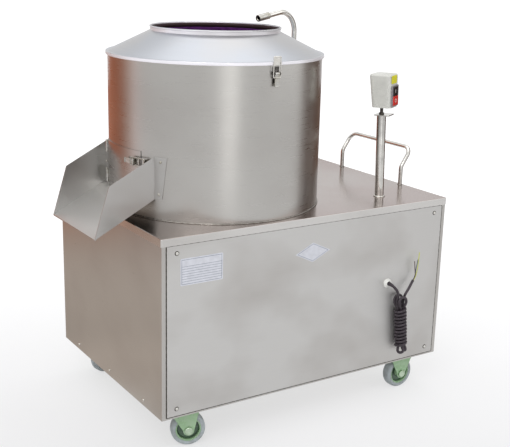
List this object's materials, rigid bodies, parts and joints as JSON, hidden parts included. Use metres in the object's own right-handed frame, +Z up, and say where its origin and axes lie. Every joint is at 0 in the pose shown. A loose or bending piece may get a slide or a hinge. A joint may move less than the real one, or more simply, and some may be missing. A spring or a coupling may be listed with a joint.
{
  "type": "electric potato peeler",
  "caption": "Floor-standing potato peeler: sheet-steel cabinet on casters with a peeling drum, cone cover, side chute with door, water pipe, push handle and switch on a post.",
  "frame": {"origin": "on the floor, under the middle of the machine's whole outline without the cord", "axes": "+X along the cabinet from the chute towards the push handle, +Y from the front panel towards the back, +Z up"},
  "size_m": [1.139, 0.742, 1.1971],
  "materials": {
    "sheet_steel": "brushed stainless sheet",
    "steel_tube": "polished stainless tube",
    "plated_steel": "bright zinc plate",
    "frame_paint": "satin grey paint",
    "motor_paint": "satin blue-grey paint",
    "caster_paint": "gloss green paint",
    "cast_metal": "as cast, machined faces",
    "turntable_metal": "casting coated with bonded grit",
    "abrasive": "bonded silicon carbide grit",
    "belt_rubber": "matt",
    "cord_rubber": "satin",
    "tyre_rubber": "matt grey",
    "grey_plastic": "semi-gloss",
    "black_plastic": "semi-gloss",
    "red_plastic": "gloss",
    "white_plastic": "semi-gloss",
    "label_plate": "pale printed foil, left bare"
  },
  "bodies": {
    "machine": {"base_frame": "frame_paint", "bottom_pan": "sheet_steel", "deck": "sheet_steel", "cabinet_wrap": "sheet_steel", "front_frame": "sheet_steel", "front_panel": "sheet_steel", "panel_screws": "plated_steel", "caster_bolts": "plated_steel", "drum_shell": "sheet_steel", "abrasive_lining": "abrasive", "drum_floor": "sheet_steel", "cone_cover": "sheet_steel", "lid_catch": "plated_steel", "lid_latch_base": "plated_steel", "chute": "sheet_steel", "rivets": "plated_steel", "door_hinge": "plated_steel", "door_hook": "plated_steel", "water_pipe": "steel_tube", "pipe_nozzle": "steel_tube", "pipe_clips": "plated_steel", "push_handle": "steel_tube", "switch_post": "steel_tube", "switch_stud": "black_plastic", "switch_box": "grey_plastic", "switch_bezel": "grey_plastic", "nameplate": "label_plate", "diamond_plate": "label_plate", "cable_gland": "white_plastic", "cord_lead": "cord_rubber", "cord_hank": "cord_rubber", "cord_tail": "cord_rubber", "motor": "motor_paint", "drive_belts": "belt_rubber", "bearing_housing": "cast_metal", "drain_spout": "steel_tube", "swivel_plates": "caster_paint", "rigid_forks": "caster_paint"},
    "turntable": {"turntable": "turntable_metal", "main_shaft": "plated_steel", "shaft_pulley": "cast_metal"},
    "motor_rotor": {"motor_pulley": "cast_metal"},
    "lid_latch_lever": {"lid_latch_lever": "plated_steel"},
    "lid_latch_bail": {"lid_latch_bail": "plated_steel"},
    "discharge_door": {"discharge_door": "sheet_steel", "door_latch_base": "plated_steel"},
    "door_latch_lever": {"door_latch_lever": "plated_steel"},
    "door_latch_bail": {"door_latch_bail": "plated_steel"},
    "start_button": {"start_button": "black_plastic"},
    "stop_button": {"stop_button": "red_plastic"},
    "swivel_fork_1": {"swivel_fork_1": "caster_paint"},
    "swivel_fork_2": {"swivel_fork_2": "caster_paint"},
    "wheel_1": {"wheel_hub_1": "caster_paint", "wheel_tyre_1": "tyre_rubber"},
    "wheel_2": {"wheel_hub_2": "caster_paint", "wheel_tyre_2": "tyre_rubber"},
    "wheel_3": {"wheel_hub_3": "caster_paint", "wheel_tyre_3": "tyre_rubber"},
    "wheel_4": {"wheel_hub_4": "caster_paint", "wheel_tyre_4": "tyre_rubber"}
  },
  "joints": [
    {"name": "turntable_spin", "type": "hinge", "parent": "machine", "child": "turntable", "pos_m": [-0.1115, -0.013, 0.64], "axis": [0, 0, 1], "continuous": true},
    {"name": "motor_spin", "type": "hinge", "parent": "machine", "child": "motor_rotor", "pos_m": [0.2885, -0.013, 0.34], "axis": [0, 0, 1], "continuous": true},
    {"name": "lid_lever", "type": "hinge", "parent": "machine", "child": "lid_latch_lever", "pos_m": [-0.10699, -0.33597, 1.0523], "axis": [-0.9999, -0.014, 0], "range_deg": [0, 110]},
    {"name": "lid_bail", "type": "hinge", "parent": "lid_latch_lever", "child": "lid_latch_bail", "pos_m": [-0.10699, -0.33597, 1.0413], "axis": [0.9999, 0.014, 0], "range_deg": [0, 165]},
    {"name": "door_swing", "type": "hinge", "parent": "machine", "child": "discharge_door", "pos_m": [-0.41032, 0.1015, 0.761], "axis": [0, 0, -1], "range_deg": [0, 85]},
    {"name": "door_lever", "type": "hinge", "parent": "discharge_door", "child": "door_latch_lever", "pos_m": [-0.42408, -0.10381, 0.798], "axis": [0, 0, 1], "range_deg": [0, 110]},
    {"name": "door_bail", "type": "hinge", "parent": "door_latch_lever", "child": "door_latch_bail", "pos_m": [-0.42714, -0.09325, 0.798], "axis": [0, 0, -1], "range_deg": [0, 165]},
    {"name": "caster_swivel_1", "type": "hinge", "parent": "machine", "child": "swivel_fork_1", "pos_m": [-0.3615, -0.287, 0.12], "axis": [0, 0, 1], "continuous": true},
    {"name": "caster_swivel_2", "type": "hinge", "parent": "machine", "child": "swivel_fork_2", "pos_m": [-0.3615, 0.287, 0.12], "axis": [0, 0, 1], "continuous": true},
    {"name": "start_press", "type": "slide", "parent": "machine", "child": "start_button", "axis": [-0.4692, 0.8829, -0.0164], "range_m": [0, 0.003], "stiffness_N_per_m": 800, "springref_m": -0.002},
    {"name": "stop_press", "type": "slide", "parent": "machine", "child": "stop_button", "axis": [-0.4692, 0.8829, -0.0164], "range_m": [0, 0.003], "stiffness_N_per_m": 800, "springref_m": -0.002},
    {"name": "wheel_spin_1", "type": "hinge", "parent": "swivel_fork_1", "child": "wheel_1", "pos_m": [-0.35022, -0.2911, 0.05], "axis": [-0.342, -0.9397, 0], "continuous": true},
    {"name": "wheel_spin_2", "type": "hinge", "parent": "swivel_fork_2", "child": "wheel_2", "pos_m": [-0.34997, 0.29031, 0.05], "axis": [0.2756, -0.9613, 0], "continuous": true},
    {"name": "wheel_spin_3", "type": "hinge", "parent": "machine", "child": "wheel_3", "pos_m": [0.4345, -0.287, 0.05], "axis": [0, 1, 0], "continuous": true},
    {"name": "wheel_spin_4", "type": "hinge", "parent": "machine", "child": "wheel_4", "pos_m": [0.4345, 0.287, 0.05], "axis": [0, 1, 0], "continuous": true}
  ],
  "couplings": [
    {"joint": "motor_spin", "follows": "turntable_spin", "ratio": 4},
    {"joint": "lid_bail", "follows": "lid_lever", "ratio": 1.5},
    {"joint": "door_bail", "follows": "door_lever", "ratio": 1.5}
  ]
}
